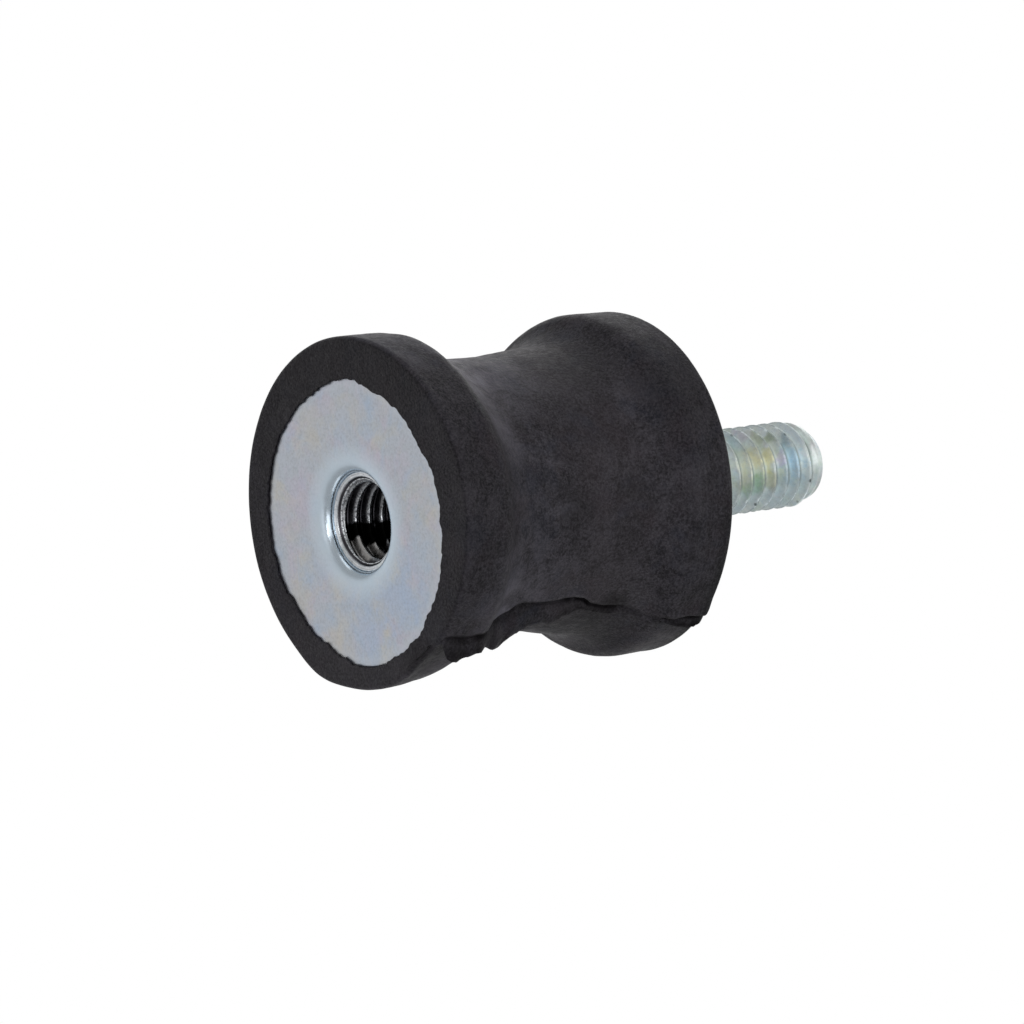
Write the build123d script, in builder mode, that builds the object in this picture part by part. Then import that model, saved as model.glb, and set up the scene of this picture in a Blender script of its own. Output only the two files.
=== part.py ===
from build123d import *
import math
import os

os.makedirs("parts", exist_ok=True)

# Bobbin vibration mount, threaded hole at one end and threaded stud at the other.
# Millimetres. +Z runs along the mount from its female face (z = 0) to its stud.
# The origin is where the axis of the threads meets the plane of the female face.

# --- rubber ---------------------------------------------------------------
body_d = 30.6        # outer diameter of both rims
body_h = 30.0        # height between the two end faces
rim_w = 4.95         # width of the straight band of each rim
neck_d = 24.9        # diameter of the waist
neck_from = 10.5     # the waist runs straight from here to body_h - neck_from
rim_edge_r = 0.3     # soft outer corners of the end faces
shoulder_r = 0.5     # soft corner where each rim turns into its flare
off_x = -0.62        # the moulding sits this far off the threads' axis
lip_d = 24.2         # the rubber creeps over the end discs up to this diameter
lip_t = 0.2          # and stands this proud of them

# --- mould flash along the parting line -------------------------------------
flash_at = -41.0     # direction of the parting line, degrees from +X
flash_t = 0.45       # thickness of the web of flash
# height above the female face, distance of the ragged free edge from the moulding's axis
flash_edge = [
    (0.7, 15.7), (1.3, 15.95), (1.9, 15.9), (2.9, 15.75), (3.9, 15.6), (4.7, 15.5), (5.4, 15.2),
    (6.6, 14.55), (7.8, 14.05), (8.6, 13.8), (9.3, 13.65), (10.0, 13.5), (11.2, 13.3),
    (12.4, 13.2), (13.6, 13.2), (14.6, 13.3), (15.4, 13.2), (16.5, 13.1), (17.8, 13.0),
    (19.2, 13.1), (20.6, 13.35), (21.9, 13.6), (23.0, 13.85), (24.2, 14.6), (25.4, 15.4),
    (26.6, 15.5), (27.9, 15.7), (28.8, 15.65), (29.4, 15.6),
]

# --- steel end discs ----------------------------------------------------------
disc_d = 24.8        # true diameter, under the lip of rubber
disc_t = 2.0
mouth_r = 0.7        # rounded mouth of the female disc's hole

# --- threaded bush -------------------------------------------------------------
bush_neck_d = 8.6    # fits the hole in the female disc
bush_top = 1.14      # its end ring sits this deep below the female face
bush_flange_d = 13.0
bush_flange_t = 1.3
bush_body_d = 10.6
bush_end = 13.6
thread_minor_d = 6.56   # internal thread, coarse 5/16 in, 18 threads an inch
mouth_cone_d = 7.48     # the end ring slopes in to this diameter
mouth_cone_z = 1.50
bore_from = 1.9
bore_to = 10.4

# --- headed stud ----------------------------------------------------------------
thread_major_d = 7.82
stud_len = 21.0      # beyond the end face
stud_tip_d = 6.3
stud_tip_l = 1.6
stud_collar_d = 8.6  # pressed into the male disc
stud_head_d = 14.0
stud_head_t = 3.0

body_r = body_d / 2
neck_r = neck_d / 2
female_z = lip_t                       # outer face of the female disc
male_z = body_h - lip_t                # outer face of the male disc


# Female end disc: a pressed steel washer with a rounded mouth around its hole.
with BuildPart() as female_end_disc:
    with BuildSketch(Plane.XY.offset(female_z)):
        Circle(disc_d / 2)
        Circle(bush_neck_d / 2, mode=Mode.SUBTRACT)
    extrude(amount=disc_t)
    mouth = female_end_disc.edges().filter_by(GeomType.CIRCLE).filter_by(
        lambda e: abs(e.radius - bush_neck_d / 2) < 1e-3
    ).sort_by(Axis.Z)[0]
    fillet(mouth, radius=mouth_r)
female_end_disc.part.label = "female_end_disc"
export_step(female_end_disc.part, "parts/female_end_disc.step")


# Threaded bush: turned from bar, with a flange that bears on the back of the disc,
# a coned mouth and a blind tapped bore.
drill_tip = bore_to + thread_minor_d / 2 / math.tan(math.radians(59))
with BuildPart() as threaded_bush:
    with BuildSketch(Plane.XZ):
        with BuildLine():
            Polyline(
                (0, drill_tip),
                (thread_minor_d / 2, bore_to),
                (thread_minor_d / 2, bore_from),
                (mouth_cone_d / 2, mouth_cone_z),
                (bush_neck_d / 2, bush_top),
                (bush_neck_d / 2, female_z + disc_t),
                (bush_flange_d / 2, female_z + disc_t),
                (bush_flange_d / 2, female_z + disc_t + bush_flange_t),
                (bush_body_d / 2, female_z + disc_t + bush_flange_t),
                (bush_body_d / 2, bush_end),
                (0, bush_end),
                close=True,
            )
        make_face()
    revolve(axis=Axis.Z)
    back_edge = threaded_bush.edges().filter_by(GeomType.CIRCLE).sort_by(Axis.Z)[-1]
    chamfer(back_edge, length=0.6)
threaded_bush.part.label = "threaded_bush"
export_step(threaded_bush.part, "parts/threaded_bush.step")


# Male end disc: the same washer at the other end, its hole filled by the stud's collar.
with BuildPart() as male_end_disc:
    with BuildSketch(Plane.XY.offset(male_z - disc_t)):
        Circle(disc_d / 2)
        Circle(stud_collar_d / 2, mode=Mode.SUBTRACT)
    extrude(amount=disc_t)
male_end_disc.part.label = "male_end_disc"
export_step(male_end_disc.part, "parts/male_end_disc.step")


# Headed stud: a flat round head inside the rubber, a collar pressed through the disc,
# and the threaded shank, drawn at its outside diameter, with a chamfered tip.
head_from = male_z - disc_t - stud_head_t
tip_z = body_h + stud_len
with BuildPart() as stud:
    with BuildSketch(Plane.XZ):
        with BuildLine():
            Polyline(
                (0, head_from),
                (stud_head_d / 2, head_from),
                (stud_head_d / 2, male_z - disc_t),
                (stud_collar_d / 2, male_z - disc_t),
                (stud_collar_d / 2, male_z),
                (thread_major_d / 2, male_z),
                (thread_major_d / 2, tip_z - stud_tip_l),
                (stud_tip_d / 2, tip_z),
                (0, tip_z),
                close=True,
            )
        make_face()
    revolve(axis=Axis.Z)
    head_edge = stud.edges().filter_by(GeomType.CIRCLE).sort_by(Axis.Z)[0]
    fillet(head_edge, radius=0.5)
    tip_edge = stud.edges().filter_by(GeomType.CIRCLE).sort_by(Axis.Z)[-1]
    fillet(tip_edge, radius=0.4)
stud.part.label = "threaded_stud"
export_step(stud.part, "parts/threaded_stud.step")


# Rubber body: one moulding, waisted, bonded around the inserts. Its outer surface turns
# about an axis a little off the threads' axis, and its end faces are rings around the
# discs. A web of flash stands along one side, where the two mould halves met.
flare_dz = neck_from - rim_w
flare_dr = body_r - neck_r
flare_r = (flare_dz**2 + flare_dr**2) / (2 * flare_dr)   # arc tangent to the waist
flare_a = math.asin(flare_dz / flare_r) / 2
mid_r = neck_r + flare_r * (1 - math.cos(flare_a))
mid_z = neck_from - flare_r * math.sin(flare_a)
section = Plane(origin=(off_x, 0, 0), x_dir=(1, 0, 0), z_dir=(0, -1, 0))
turning_axis = Axis((off_x, 0, 0), (0, 0, 1))
fa = math.radians(flash_at)
flash_plane = Plane(
    origin=(off_x, 0, 0),
    x_dir=(math.cos(fa), math.sin(fa), 0),
    z_dir=(math.sin(fa), -math.cos(fa), 0),
)
with BuildPart() as rubber_body:
    with BuildSketch(section):
        with BuildLine():
            Line((0, 0), (body_r, 0))
            Line((body_r, 0), (body_r, rim_w))
            ThreePointArc((body_r, rim_w), (mid_r, mid_z), (neck_r, neck_from))
            Line((neck_r, neck_from), (neck_r, body_h - neck_from))
            ThreePointArc(
                (neck_r, body_h - neck_from), (mid_r, body_h - mid_z), (body_r, body_h - rim_w)
            )
            Line((body_r, body_h - rim_w), (body_r, body_h))
            Line((body_r, body_h), (0, body_h))
            Line((0, body_h), (0, 0))
        make_face()
    revolve(axis=turning_axis)
    rims = rubber_body.edges().filter_by(GeomType.CIRCLE).filter_by(
        lambda e: abs(e.radius - body_r) < 1e-3
    ).sort_by(Axis.Z)
    fillet([rims[0], rims[-1]], radius=rim_edge_r)
    shoulders = rubber_body.edges().filter_by(GeomType.CIRCLE).filter_by(
        lambda e: abs(e.radius - body_r) < 1e-3 and 2 < e.center().Z < body_h - 2
        and (abs(e.center().Z - rim_w) < 1e-3 or abs(e.center().Z - body_h + rim_w) < 1e-3)
    )
    fillet(shoulders, radius=shoulder_r)
    # the web of flash
    with BuildSketch(flash_plane):
        with BuildLine():
            Polyline(
                (neck_r - 1.5, flash_edge[0][0]),
                *[(r, z) for z, r in flash_edge],
                (neck_r - 1.5, flash_edge[-1][0]),
                close=True,
            )
        make_face()
    extrude(amount=flash_t / 2, both=True)
    # the beds of the inserts and the open faces at both ends
    add(female_end_disc.part, mode=Mode.SUBTRACT)
    add(threaded_bush.part, mode=Mode.SUBTRACT)
    add(male_end_disc.part, mode=Mode.SUBTRACT)
    add(stud.part, mode=Mode.SUBTRACT)
    with BuildSketch():
        Circle(lip_d / 2)
    extrude(amount=lip_t, mode=Mode.SUBTRACT)
    with BuildSketch():
        Circle(bush_neck_d / 2 + mouth_r)
    extrude(amount=mouth_cone_z, mode=Mode.SUBTRACT)
    with BuildSketch():
        Circle(thread_minor_d / 2 + 0.6)
    extrude(amount=bush_end - 0.5, mode=Mode.SUBTRACT)
    with BuildSketch(Plane.XY.offset(male_z)):
        Circle(lip_d / 2)
    extrude(amount=lip_t, mode=Mode.SUBTRACT)
rubber_body.part.label = "rubber_body"
export_step(rubber_body.part, "parts/rubber_body.step")

print("flare radius", round(flare_r, 3), "rubber solids", len(rubber_body.solids()))
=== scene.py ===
import math

import bpy
import numpy as np
from mathutils import Matrix, Vector


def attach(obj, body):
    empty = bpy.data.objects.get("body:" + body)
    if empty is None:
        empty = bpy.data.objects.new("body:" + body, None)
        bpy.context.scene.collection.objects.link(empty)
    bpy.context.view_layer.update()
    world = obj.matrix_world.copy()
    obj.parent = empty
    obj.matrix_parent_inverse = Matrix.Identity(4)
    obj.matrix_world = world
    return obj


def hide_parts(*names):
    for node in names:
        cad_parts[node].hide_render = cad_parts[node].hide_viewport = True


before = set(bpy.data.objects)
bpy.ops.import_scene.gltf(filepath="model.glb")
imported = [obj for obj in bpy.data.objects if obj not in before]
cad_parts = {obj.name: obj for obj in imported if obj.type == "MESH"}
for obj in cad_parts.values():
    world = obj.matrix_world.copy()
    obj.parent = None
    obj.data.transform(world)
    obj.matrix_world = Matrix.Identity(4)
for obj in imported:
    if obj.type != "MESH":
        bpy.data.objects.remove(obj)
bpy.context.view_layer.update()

MM = 0.001

# ------------------------------------------------------------------ dimensions, in mm
BODY_R = 15.1
BODY_H = 30.0
RIM_W = 4.95
NECK_R = 12.25
NECK_FROM = 10.5
LIP_R = 12.08
LIP_T = 0.2
DISC_R = 12.4
DISC_T = 2.0
SEAM = math.radians(-41.0)
SEAM_B = SEAM + math.pi
PITCH = 25.4 / 18.0
TURN = 2 * math.pi


# ------------------------------------------------------------------ seeded noise
def _hash(ix, iy, iz, seed):
    n = (
        ix.astype(np.int64) * 374761393
        + iy.astype(np.int64) * 668265263
        + iz.astype(np.int64) * 1274126177
        + seed * 974634777
    ) & 0xFFFFFFFF
    n = ((n ^ (n >> 13)) * 1103515245) & 0xFFFFFFFF
    n = ((n ^ (n >> 16)) * 362437) & 0xFFFFFFFF
    return ((n ^ (n >> 15)) & 0xFFFFFF) / float(0xFFFFFF) * 2 - 1


def noise3(p, size, seed=0):
    """Smooth noise from -1 to 1, with features about `size` across."""
    q = np.asarray(p, float) / size
    i = np.floor(q)
    f = q - i
    f = f * f * f * (f * (f * 6 - 15) + 10)
    ix, iy, iz = i[..., 0], i[..., 1], i[..., 2]
    out = 0.0
    for dx in (0, 1):
        wx = f[..., 0] if dx else 1 - f[..., 0]
        for dy in (0, 1):
            wy = f[..., 1] if dy else 1 - f[..., 1]
            for dz in (0, 1):
                wz = f[..., 2] if dz else 1 - f[..., 2]
                out = out + wx * wy * wz * _hash(ix + dx, iy + dy, iz + dz, seed)
    return out


def noise1(x, size, seed=0):
    x = np.asarray(x, float)
    return noise3(np.stack([x, np.zeros_like(x), np.zeros_like(x)], -1), size, seed)


def ring_noise(theta, radius, size, seed=0):
    """Noise round a circle, with no seam where it closes."""
    p = np.stack([radius * np.cos(theta), radius * np.sin(theta), np.zeros_like(theta)], -1)
    return noise3(p, size, seed)


def smooth(a, b, x):
    t = np.clip((x - a) / (b - a), 0, 1)
    return t * t * (3 - 2 * t)


# ------------------------------------------------------------------ meshes
def lathe(name, rings, tip_lo=None, tip_hi=None, loop=False):
    """A closed skin from rings of points (rings, columns, 3) in mm, with a point at each end."""
    rings = np.asarray(rings, float)
    nr, nc, _ = rings.shape
    verts = [rings.reshape(-1, 3)]
    k = np.arange(nr - 1)[:, None] * nc
    c = np.arange(nc)[None]
    c2 = (c + 1) % nc
    quads = np.stack([k + c, k + c2, k + nc + c2, k + nc + c], -1).reshape(-1, 4)
    tris = []
    if loop:
        k = (nr - 1) * nc
        quads = np.concatenate(
            [quads, np.stack([k + c[0], k + c2[0], c2[0], c[0]], -1)]
        )
    n = nr * nc
    if tip_lo is not None:
        verts.append(np.array([tip_lo], float))
        tris.append(np.stack([np.full(nc, n), c2[0], c[0]], -1))
        n += 1
    if tip_hi is not None:
        verts.append(np.array([tip_hi], float))
        b = (nr - 1) * nc
        tris.append(np.stack([np.full(nc, n), b + c[0], b + c2[0]], -1))
        n += 1
    verts = np.concatenate(verts) * MM
    faces = [quads.ravel()]
    starts = [np.arange(len(quads)) * 4]
    totals = [np.full(len(quads), 4)]
    base = len(quads) * 4
    for t in tris:
        faces.append(t.ravel())
        starts.append(base + np.arange(len(t)) * 3)
        totals.append(np.full(len(t), 3))
        base += len(t) * 3
    faces = np.concatenate(faces).astype(np.int32)
    starts = np.concatenate(starts).astype(np.int32)
    totals = np.concatenate(totals).astype(np.int32)
    me = bpy.data.meshes.new(name)
    me.vertices.add(len(verts))
    me.vertices.foreach_set("co", verts.astype(np.float32).ravel())
    me.loops.add(len(faces))
    me.loops.foreach_set("vertex_index", faces)
    me.polygons.add(len(starts))
    me.polygons.foreach_set("loop_start", starts)
    me.polygons.foreach_set("loop_total", totals)
    me.update(calc_edges=True)
    me.validate()
    me.polygons.foreach_set("use_smooth", np.ones(len(me.polygons), bool))
    ob = bpy.data.objects.new(name, me)
    bpy.context.scene.collection.objects.link(ob)
    return ob


def attribute(ob, name, values):
    a = ob.data.attributes.new(name, "FLOAT", "POINT")
    a.data.foreach_set("value", np.asarray(values, np.float32).ravel())


def arc(cx, cz, r, a0, a1, n):
    return [
        (cx + r * math.cos(a0 + (a1 - a0) * k / n), cz + r * math.sin(a0 + (a1 - a0) * k / n))
        for k in range(n + 1)
    ]


# ------------------------------------------------------------------ rubber moulding
# Rings run from the bed of the bush, out round the female disc, over the lip, along the
# outside and back in round the male disc to the bed of the stud's head.
EDGE_R = 0.50
FLARE_DZ, FLARE_DR = NECK_FROM - RIM_W, BODY_R - NECK_R
FLARE_R = (FLARE_DZ**2 + FLARE_DR**2) / (2 * FLARE_DR)


def outer_profile():
    """(radius, height) along the outside, from the female face's edge to the waist."""
    pts = []
    pts += arc(BODY_R - EDGE_R, EDGE_R, EDGE_R, -math.pi / 2, 0, 7)
    pts += [(BODY_R, z) for z in np.linspace(EDGE_R, RIM_W - 1.1, 17)[1:]]
    a_end = math.asin(FLARE_DZ / FLARE_R)
    flare = [
        (NECK_R + FLARE_R * (1 - math.cos(a)), NECK_FROM - FLARE_R * math.sin(a))
        for a in np.linspace(a_end * 0.82, 0, 24)
    ]
    # the soft shoulder between the band and the flare
    p0, p2 = np.array(pts[-1]), np.array(flare[0])
    p1 = np.array([BODY_R + 0.02, RIM_W + 0.02])
    for t in np.linspace(0, 1, 11)[1:-1]:
        pts.append(tuple((1 - t) ** 2 * p0 + 2 * t * (1 - t) * p1 + t * t * p2))
    pts += flare
    return pts


half = outer_profile()
waist = [(NECK_R, z) for z in np.linspace(NECK_FROM, BODY_H - NECK_FROM, 42)[1:-1]]
outside = half + waist + [(r, BODY_H - z) for r, z in half[::-1]]
outside = np.array(outside)

# the moulding isn't quite round or straight: measured drift of its axis and radius with height
SWELL = np.array([(0, 0.26), (5, 0.22), (10, 0.28), (15, 0.18), (20, 0.50), (25, 0.17), (30, 0.14)])


# bulges and hollows: height, direction in degrees from +X, spread in height, spread in degrees, rise
DENTS = [
    (0.0, 27.0, 3.5, 11.0, 0.34),
    (2.5, -24.0, 2.4, 9.0, -0.62),
    (4.4, -10.0, 1.8, 14.0, -0.34),
    (17.2, 5.0, 2.2, 14.0, -0.40),
    (14.4, -17.0, 3.4, 16.0, -0.86),
    (8.5, -160.0, 4.5, 13.0, 0.20),
    (29.6, -44.0, 1.0, 3.5, 0.16),
]


def axis_at(z):
    k = z / BODY_H
    return -0.785 * (1 - k) - 0.485 * k, -0.22 * (1 - k) + 0.30 * k


def out_of_round(a, z):
    k = z / BODY_H
    d0 = -0.21 * np.cos(2 * a) + 0.18 * np.sin(2 * a) + 0.14 * np.sin(3 * a)
    d1 = -0.17 * np.cos(2 * a) - 0.09 * np.sin(2 * a) + 0.08 * np.cos(3 * a) - 0.14 * np.sin(3 * a)
    d = np.interp(z, SWELL[:, 0], SWELL[:, 1]) + d0 * (1 - k) + d1 * k
    for z0, a0, dz, da, rise in DENTS:
        off = (np.degrees(a) - a0 + 180) % 360 - 180
        d = d + rise * np.exp(-((off / da) ** 2) - ((z - z0) / dz) ** 2)
    return d


# where the parting line runs: height, direction in degrees from +X
PARTING = np.array(
    [
        (0.0, -45.0), (0.9, -44.8), (1.8, -44.0), (2.9, -43.2), (4.0, -43.5), (5.0, -43.3),
        (6.0, -42.1), (7.0, -41.5), (8.9, -41.0), (9.6, -43.6), (10.3, -44.1), (12.5, -42.9), (14.4, -42.5),
        (16.2, -43.5), (17.2, -43.2), (18.3, -39.5), (19.9, -37.4), (21.2, -37.3), (22.2, -38.2),
        (23.1, -37.3), (23.8, -36.6), (24.6, -37.4), (25.1, -39.6), (26.2, -39.6), (27.3, -40.3),
        (30.0, -39.8),
    ]
)
# the web of flash: height above the female face, how far it reaches from its root
FLASH = np.array(
    [
        (0.0, 0.0), (0.3, 0.25), (0.6, 1.20), (0.9, 1.80), (1.3, 1.96), (1.9, 1.88), (2.5, 1.70),
        (3.4, 1.50), (4.4, 1.46), (5.0, 1.56), (5.6, 1.72), (6.6, 2.24), (7.8, 2.84), (8.6, 2.96),
        (9.3, 2.82), (9.8, 2.70), (10.4, 2.52), (11.2, 2.10), (11.9, 1.84), (13.0, 1.72),
        (13.7, 1.78), (14.2, 1.92), (14.7, 2.02), (15.1, 1.90), (15.6, 1.56), (16.3, 1.36),
        (16.8, 1.00), (17.4, 0.74), (18.2, 0.56), (19.4, 0.46), (20.0, 0.48), (20.6, 0.54),
        (21.2, 0.52), (21.9, 0.46), (22.5, 0.36), (23.2, 0.28), (23.9, 0.20), (24.6, 0.14),
        (25.1, 0.15), (25.8, 0.28), (26.4, 0.48), (27.2, 0.80), (27.9, 0.98), (28.5, 0.96),
        (29.0, 0.75), (29.4, 0.62), (29.7, 0.52), (29.9, 0.34), (30.0, 0.0),
    ]
)
# how open the crease above the web is
CREASE = np.array(
    [
        (0.0, 0.0), (0.5, 0.25), (0.9, 0.55), (2.0, 0.36), (4.6, 0.26), (6.2, 0.34), (7.6, 0.55), (8.8, 0.8), (10.2, 1.0),
        (15.5, 0.85), (16.4, 1.1), (17.0, 1.5), (18.0, 1.45), (18.6, 0.8), (21.6, 0.8), (22.6, 0.40),
        (24.4, 0.25), (25.2, 0.8), (29.2, 0.9),
        (29.8, 0.2), (30.0, 0.0),
    ]
)
_s = np.linspace(0, 1, 65)
_b = np.radians(16 + 66 * np.sqrt(_s))
CURL_R = np.concatenate([[0], np.cumsum(np.cos((_b[1:] + _b[:-1]) / 2)) / 64])
CURL_T = np.concatenate([[0], np.cumsum(np.sin((_b[1:] + _b[:-1]) / 2)) / 64])


def web_reach(z):
    return np.interp(z, FLASH[:, 0], FLASH[:, 1])


def eased(r0, z):
    """How far the web's free edge leaves the outside's radius to round off the front shoulder."""
    near = np.linspace(z - 0.9, z + 0.9, 19)
    mean = float(np.interp(near, outside[:, 1], outside[:, 0]).mean())
    return (mean - r0) * float(smooth(2.0, 3.0, z) * smooth(12.0, 10.0, z))


def flash_reach(z):
    h = web_reach(z)
    rough = 0.07 * noise1(z, 0.95, 11) + 0.075 * noise1(z, 0.42, 12) + 0.03 * noise1(z, 0.22, 13)
    return np.maximum(h + rough * smooth(0.05, 0.6, h), 0) * (h > 0.01)


def back_height(z):
    h = 0.22 * smooth(0.5, 1.2, z) * smooth(BODY_H - 0.3, BODY_H - 1.1, z)
    return np.maximum(h * (1 + 0.7 * noise1(z, 1.3, 21) + 0.5 * noise1(z, 0.5, 22)), 0)


def columns():
    """Each column: its angle, which seam it belongs to, its offset across the seam and its place on the web."""
    cols = []
    block = []
    for t in (-1.5, -1.3, -1.12, -0.98, -0.86, -0.75, -0.66, -0.58):
        block.append((t, "skin", 0.0))
    for t, g in ((-0.52, 0.15), (-0.47, 0.6), (-0.42, 1.0), (-0.36, 1.0), (-0.30, 0.85)):
        block.append((t, "groove", g))
    for k in range(10):
        f = k / 9.5
        block.append((-0.25 + 0.018 * k, "upper", f))
    for k in range(10):
        f = (9 - k) / 9.5
        block.append((0.08 + 0.018 * k, "under", f))
    for t in (0.31, 0.38, 0.46, 0.56, 0.68, 0.82, 0.98, 1.15, 1.35):
        block.append((t, "skin", 0.0))
    small = []
    for t in (-0.6, -0.4, -0.26):
        small.append((t, "skin", 0.0))
    for t, f in ((-0.15, 0.1), (-0.1, 0.55), (-0.05, 0.95), (0.0, 1.0), (0.05, 0.95), (0.1, 0.55), (0.15, 0.1)):
        small.append((t, "web", f))
    for t in (0.26, 0.4, 0.6):
        small.append((t, "skin", 0.0))
    half_a, half_b = 1.62 / 14.0, 0.75 / 14.0
    n = 384
    for k in range(n):
        a = SEAM + TURN * k / n
        da = (a - SEAM + math.pi) % TURN - math.pi
        db = (a - SEAM_B + math.pi) % TURN - math.pi
        if abs(da) > half_a and abs(db) > half_b:
            cols.append(((a - SEAM) % TURN, "none", 0.0, 0.0, "skin"))
    for t, kind, f in block:
        cols.append((((t / 14.0) % TURN), "main", t, f, kind))
    for t, kind, f in small:
        cols.append(((t / 14.0 + math.pi) % TURN, "back", t, f, kind))
    cols.sort(key=lambda c: c[0])
    return cols


COLS = columns()
col_a = np.array([c[0] + SEAM for c in COLS])
col_seam = np.array([{"none": 0, "main": 1, "back": 2}[c[1]] for c in COLS])
col_t = np.array([c[2] for c in COLS])
col_f = np.array([c[3] for c in COLS])
col_kind = np.array([{"skin": 0, "groove": 1, "web": 2, "upper": 3, "under": 4}[c[4]] for c in COLS])
NC = len(COLS)

# the creeping edge of the rubber on the female disc, in mm from the threads' axis,
# every 5 degrees from -180
LIP = [
    12.24, 12.30, 12.16, 11.89, 11.86, 11.95, 12.01, 11.92, 12.07, 12.01, 11.88, 11.87,
    11.75, 12.09, 12.32, 12.19, 12.13, 12.13, 12.04, 12.09, 12.10, 12.16, 12.12, 12.13,
    12.19, 12.17, 12.08, 12.10, 12.24, 12.13, 12.21, 12.19, 12.15, 12.22, 12.30, 12.29,
    12.45, 12.30, 12.17, 11.97, 12.04, 11.72, 11.81, 11.94, 11.87, 11.83, 11.77, 11.81,
    12.08, 12.16, 12.22, 12.04, 12.36, 12.28, 12.12, 12.24, 12.19, 12.19, 12.13, 12.12,
    12.12, 12.12, 12.10, 12.07, 12.08, 12.04, 11.98, 11.91, 11.88, 12.11, 12.08, 12.27,
]


def lip_edge(theta, lo):
    """Radius of the rubber's creeping edge over a disc: scalloped, with small nicks and tongues."""
    seed = 31 if lo else 51
    if lo:
        deg = (np.degrees(theta) + 180) % 360
        r = np.interp(deg, np.arange(73) * 5.0, np.array(LIP + LIP[:1]))
    else:
        r = LIP_R + 0.09 * ring_noise(theta, LIP_R, 5.2, seed) + 0.16 * ring_noise(theta, LIP_R, 2.4, seed + 1)
    r = r + 0.075 * ring_noise(theta, LIP_R, 1.15, seed + 2)
    r = r + 0.11 * ring_noise(theta, LIP_R, 0.60, seed + 3) + 0.07 * ring_noise(theta, LIP_R, 0.34, seed + 6)
    # short runs that drift in and then break back out
    s = (theta * LIP_R / 1.15 + 0.9 * ring_noise(theta, LIP_R, 3.0, seed + 4)) % 1.0
    r = r + (0.5 - s) * 0.15 * (0.5 + 0.5 * ring_noise(theta, LIP_R, 5.0, seed + 5))
    return np.minimum(r, DISC_R - 0.02)


def inner_rings():
    """The beds of the inserts: plain rings about the threads' axis, female end then male end."""
    female = [
        (4.9, 13.6), (5.3, 13.0), (5.3, 3.5), (6.5, 3.5), (6.5, 2.2),
        (9.5, 2.2), (DISC_R, 2.2), (DISC_R, LIP_T + 0.05),
    ]
    male = [
        (DISC_R, BODY_H - LIP_T - 0.05), (DISC_R, 27.8), (9.5, 27.8), (7.0, 27.8),
        (7.0, 25.3), (6.85, 24.95), (6.5, 24.8), (3.0, 24.8),
    ]
    return female, male


def seam_shade_and_grime(z):
    """How dark the skin is painted around the seam, 0 to 1, for each column: painted shade in the crease and on
    the curled web, with grime.
    """
    end = min(z, BODY_H - z)
    reach = float(flash_reach(np.array([z]))[0])
    k = max(at(CREASE, z), float(smooth(0.1, 0.8, reach))) * float(smooth(0.0, 0.7, end))
    ang = (col_a - SEAM + math.pi) % TURN - math.pi
    off = ang * 14.0
    main = col_seam == 1
    d = np.where(main & (col_kind == 1), 0.30 + 0.70 * col_f, 0.0)
    d = np.where(main & (col_kind == 0) & (off < 0), smooth(-0.80, -0.54, off) * 0.6, d)
    d = np.where(main & (col_kind == 0) & (off > 0), smooth(0.9, 0.3, off) * 0.8, d)
    web = np.interp(col_f, [0.0, 0.14, 0.30, 0.45, 0.70, 1.0], [1.0, 0.92, 0.42, 0.46, 0.80, 0.66])
    web = np.maximum(web, 0.90 * float(smooth(4.6, 5.3, z) * smooth(8.4, 7.2, z)))
    web = np.where(col_kind == 3, web, 0.95)
    thin = float(np.interp(z, [0.6, 1.5, 5.0, 7.0, 8.8, 13.5, 16.0], [0.50, 0.66, 0.84, 0.84, 0.44, 0.64, 1.0]))
    d = np.where(main & (col_kind >= 3), web * float(smooth(0.02, 0.35, reach)), d) * thin
    # past the web's tip the darkening only fades out over the skin below the crease
    behind = float(smooth(16.2, 18.0, z) * smooth(24.6, 22.6, z))
    d = np.maximum(d * min(k, 1.0), smooth(3.0, 0.2, off) * (off > -0.2) * 0.50 * behind)
    p = np.stack([off, np.full(NC, float(z)), np.zeros(NC)], -1)
    return np.clip(d * (0.92 + 0.34 * noise3(p, 1.1, 64) + 0.30 * noise3(p, 0.42, 65)), 0, 1)


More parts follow.
